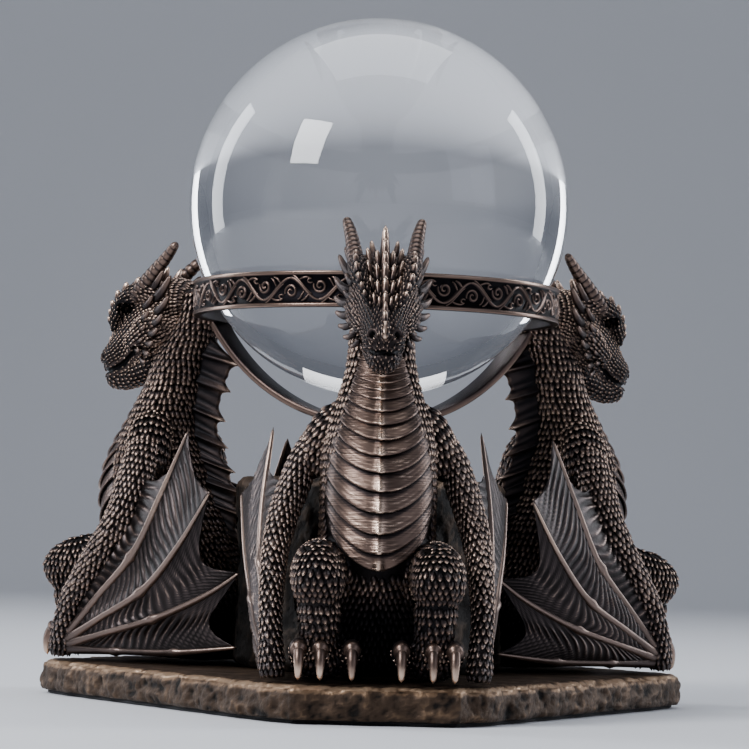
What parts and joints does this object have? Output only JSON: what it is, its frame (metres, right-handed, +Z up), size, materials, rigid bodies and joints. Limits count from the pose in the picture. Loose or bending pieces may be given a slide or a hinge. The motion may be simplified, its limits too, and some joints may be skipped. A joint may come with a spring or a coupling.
{
  "type": "crystal ball on dragon stand",
  "caption": "Clear crystal ball resting in a banded ring and strap cradle, held up by seated winged dragons on a rocky plinth.",
  "frame": {"origin": "on the table under the axis of the ball, at the underside of the felt", "axes": "+Z up along the ball axis, -Y towards the dragon at the front"},
  "size_m": [0.1919, 0.1767, 0.1989],
  "materials": {
    "dragon_bronze": "cold-cast bronze resin, dark patina with brushed copper highlights",
    "ring_bronze": "antiqued bronze band, polished rims over dark scrollwork",
    "rock_bronze": "cold-cast bronze resin, rough rock texture",
    "felt": "black felt",
    "crystal": "clear polished crystal"
  },
  "bodies": {
    "stand": {"dragon_body_front": "dragon_bronze", "dragon_head_front": "dragon_bronze", "dragon_wing_front_a": "dragon_bronze", "dragon_wing_front_b": "dragon_bronze", "cradle_strap_front": "ring_bronze", "dragon_body_right": "dragon_bronze", "dragon_head_right": "dragon_bronze", "dragon_wing_right_a": "dragon_bronze", "dragon_wing_right_b": "dragon_bronze", "cradle_strap_right": "ring_bronze", "dragon_body_left": "dragon_bronze", "dragon_head_left": "dragon_bronze", "dragon_wing_left_a": "dragon_bronze", "dragon_wing_left_b": "dragon_bronze", "cradle_strap_left": "ring_bronze", "support_ring": "ring_bronze", "cradle_boss": "ring_bronze", "rock_core": "rock_bronze", "plinth": "rock_bronze", "felt_pad": "felt"},
    "ball": {"crystal_ball": "crystal"}
  },
  "joints": [
    {"name": "ball_lift", "type": "slide", "parent": "stand", "child": "ball", "axis": [0, 0, 1], "range_m": [0, 0.06]}
  ]
}
